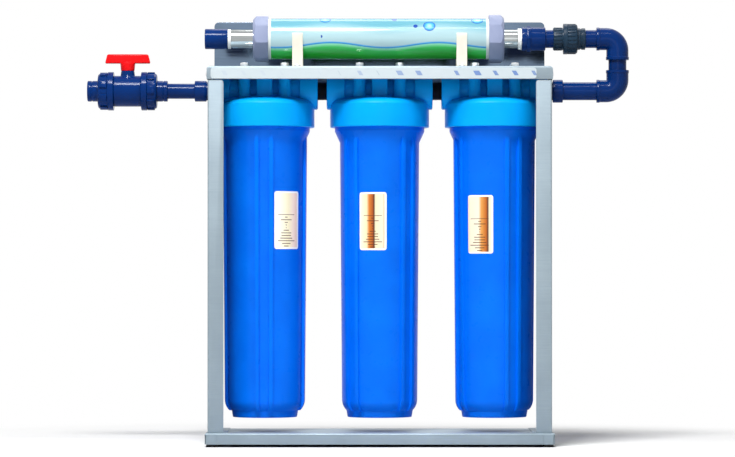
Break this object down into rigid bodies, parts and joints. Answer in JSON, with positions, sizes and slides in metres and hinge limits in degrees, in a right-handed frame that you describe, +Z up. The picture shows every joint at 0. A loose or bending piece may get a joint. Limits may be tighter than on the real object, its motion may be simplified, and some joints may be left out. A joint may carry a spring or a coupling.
{
  "type": "three-stage cartridge water filter",
  "caption": "Floor-standing water filter: blue cartridge housings in a row under a sheet-metal stand, inlet ball valve at the side, pipe loop up to an in-line conditioner tube on top.",
  "frame": {"origin": "on the floor, in the middle of the whole outline", "axes": "+X along the row of housings from inlet to outlet loop, +Y from front to back, +Z up"},
  "size_m": [0.964, 0.196, 0.7646],
  "materials": {
    "stand_steel": "satin",
    "panel_steel": "polished",
    "foot_rubber": "matte",
    "fastener_steel": "polished",
    "housing_blue": "gloss",
    "seal_rubber": "matte",
    "cartridge_media": "matte",
    "cartridge_plastic": "matte",
    "nipple_black": "satin",
    "pipe_navy": "gloss",
    "union_grey": "satin",
    "seat_white": "matte",
    "ball_steel": "polished",
    "handle_red": "gloss",
    "shell_print": "gloss",
    "ring_nut_grey": "satin",
    "pipe_steel": "polished",
    "magnet_dark": "matte",
    "strap_white": "satin"
  },
  "bodies": {
    "root": {"base_tray": "stand_steel", "left_leg": "stand_steel", "right_leg": "stand_steel", "top_plate": "stand_steel", "back_panel": "panel_steel", "rubber_feet": "foot_rubber", "frame_fasteners": "fastener_steel", "housing_bolts": "fastener_steel", "bolt_washers": "fastener_steel", "cap_1": "housing_blue", "cap_2": "housing_blue", "cap_3": "housing_blue", "port_nipples": "nipple_black", "inlet_adaptor": "pipe_navy", "inlet_pipe": "pipe_navy", "valve_body": "pipe_navy", "valve_seat_carrier": "pipe_navy", "valve_tails": "pipe_navy", "outlet_adaptor": "pipe_navy", "loop_pipes": "pipe_navy", "lower_elbow": "pipe_navy", "upper_elbow": "pipe_navy", "conditioner_inlet": "pipe_navy", "conditioner_outlet": "pipe_navy", "union_body": "union_grey", "union_tail": "union_grey", "valve_seats": "seat_white", "thread_seals": "seat_white", "union_orings": "seal_rubber", "conditioner_shell": "shell_print", "end_plugs": "ring_nut_grey", "flow_pipe": "pipe_steel", "magnet_rings": "magnet_dark", "tube_straps": "strap_white", "strap_bases": "strap_white"},
    "sump_seal_1": {"sump_oring_1": "seal_rubber"},
    "sump_1": {"sump_1": "housing_blue", "cartridge_1": "cartridge_media", "cartridge_ends_1": "cartridge_plastic", "cartridge_gaskets_1": "seal_rubber"},
    "sump_seal_2": {"sump_oring_2": "seal_rubber"},
    "sump_2": {"sump_2": "housing_blue", "cartridge_2": "cartridge_media", "cartridge_ends_2": "cartridge_plastic", "cartridge_gaskets_2": "seal_rubber"},
    "sump_seal_3": {"sump_oring_3": "seal_rubber"},
    "sump_3": {"sump_3": "housing_blue", "cartridge_3": "cartridge_media", "cartridge_ends_3": "cartridge_plastic", "cartridge_gaskets_3": "seal_rubber"},
    "valve_handle": {"valve_handle": "handle_red", "valve_stem": "ball_steel", "valve_stem_oring": "seal_rubber", "valve_ball": "ball_steel"},
    "valve_nut_left": {"valve_nut_left": "pipe_navy"},
    "valve_nut_right": {"valve_nut_right": "pipe_navy"},
    "union_nut": {"union_nut": "union_grey"},
    "ring_nut_left": {"ring_nut_left": "ring_nut_grey"},
    "ring_nut_right": {"ring_nut_right": "ring_nut_grey"}
  },
  "joints": [
    {"name": "sump_1_drop", "type": "slide", "parent": "root", "child": "sump_seal_1", "axis": [0, 0, 1], "range_m": [-0.0212, 0]},
    {"name": "sump_1_turn", "type": "hinge", "parent": "sump_seal_1", "child": "sump_1", "pos_m": [-0.16603, 0, 0.5643], "axis": [0, 0, 1], "range_deg": [-1260, 0]},
    {"name": "sump_2_drop", "type": "slide", "parent": "root", "child": "sump_seal_2", "axis": [0, 0, 1], "range_m": [-0.0212, 0]},
    {"name": "sump_2_turn", "type": "hinge", "parent": "sump_seal_2", "child": "sump_2", "pos_m": [0.03798, 0, 0.5643], "axis": [0, 0, 1], "range_deg": [-1260, 0]},
    {"name": "sump_3_drop", "type": "slide", "parent": "root", "child": "sump_seal_3", "axis": [0, 0, 1], "range_m": [-0.0212, 0]},
    {"name": "sump_3_turn", "type": "hinge", "parent": "sump_seal_3", "child": "sump_3", "pos_m": [0.24197, 0, 0.5643], "axis": [0, 0, 1], "range_deg": [-1260, 0]},
    {"name": "valve_turn", "type": "hinge", "parent": "root", "child": "valve_handle", "pos_m": [-0.41052, 0, 0.6293], "axis": [0, 0, 1], "range_deg": [0, 90]},
    {"name": "valve_nut_left_spin", "type": "hinge", "parent": "root", "child": "valve_nut_left", "pos_m": [-0.44903, 0, 0.6293], "axis": [1, 0, 0], "continuous": true},
    {"name": "valve_nut_right_spin", "type": "hinge", "parent": "root", "child": "valve_nut_right", "pos_m": [-0.37202, 0, 0.6293], "axis": [1, 0, 0], "continuous": true},
    {"name": "union_nut_spin", "type": "hinge", "parent": "root", "child": "union_nut", "pos_m": [0.37748, 0, 0.7223], "axis": [1, 0, 0], "continuous": true},
    {"name": "ring_nut_left_spin", "type": "hinge", "parent": "root", "child": "ring_nut_left", "pos_m": [-0.17353, 0, 0.7223], "axis": [1, 0, 0], "continuous": true},
    {"name": "ring_nut_right_spin", "type": "hinge", "parent": "root", "child": "ring_nut_right", "pos_m": [0.24547, 0, 0.7223], "axis": [1, 0, 0], "continuous": true}
  ],
  "couplings": [
    {"joint": "sump_1_drop", "follows": "sump_1_turn", "m_per_rad": 0.00095493},
    {"joint": "sump_2_drop", "follows": "sump_2_turn", "m_per_rad": 0.00095493},
    {"joint": "sump_3_drop", "follows": "sump_3_turn", "m_per_rad": 0.00095493}
  ]
}
